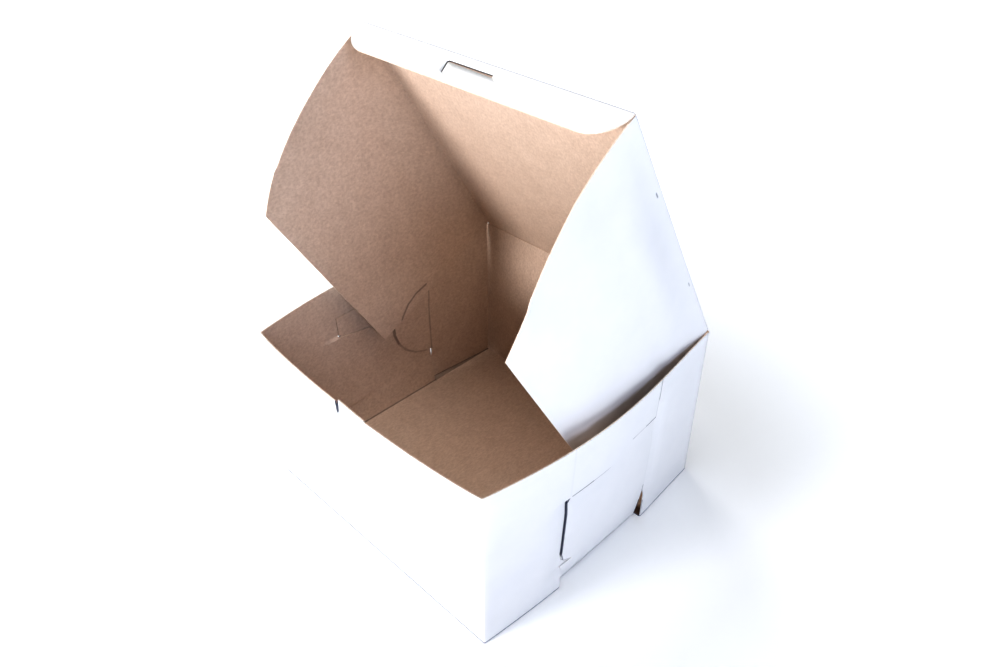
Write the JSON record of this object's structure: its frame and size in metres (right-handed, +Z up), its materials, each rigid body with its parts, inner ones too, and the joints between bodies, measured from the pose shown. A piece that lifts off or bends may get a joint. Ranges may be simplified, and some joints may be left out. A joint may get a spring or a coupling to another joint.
{
  "type": "bakery box",
  "caption": "Small one-piece folding bakery box: locked-corner tray with a hinged lid, rounded side flaps and a tuck flap, held part open.",
  "frame": {"origin": "middle of the tray's underside, at the height the box stands on", "axes": "+Z up, -Y towards the front wall, opposite the lid's hinge"},
  "size_m": [0.141, 0.1311, 0.185],
  "materials": {
    "board_tray": "white matte outside, natural kraft brown inside",
    "board_lid": "white matte outside, natural kraft brown inside",
    "board_side_flaps": "white matte outside, natural kraft brown inside",
    "board_front_flap": "white matte outside, natural kraft brown inside"
  },
  "bodies": {
    "tray_body": {"tray": "board_tray"},
    "lid": {"lid_panel": "board_lid"},
    "right_flap": {"lid_side_flap_right": "board_side_flaps"},
    "left_flap": {"lid_side_flap_left": "board_side_flaps"},
    "front_flap": {"lid_front_flap": "board_front_flap"}
  },
  "joints": [
    {"name": "lid_hinge", "type": "hinge", "parent": "tray_body", "child": "lid", "pos_m": [0, 0.06325, 0.0765], "axis": [-1, 0, 0], "range_deg": [-59.4, 115]},
    {"name": "right_flap_fold", "type": "hinge", "parent": "lid", "child": "right_flap", "pos_m": [0.06245, 0.03247, 0.128], "axis": [0, 0.509, -0.8607], "range_deg": [0, 50]},
    {"name": "left_flap_fold", "type": "hinge", "parent": "lid", "child": "left_flap", "pos_m": [-0.06245, 0.03247, 0.128], "axis": [0, -0.509, 0.8607], "range_deg": [0, 50]},
    {"name": "front_flap_fold", "type": "hinge", "parent": "lid", "child": "front_flap", "pos_m": [0, -0.00052, 0.18482], "axis": [-1, 0, 0], "range_deg": [0, 86]}
  ]
}
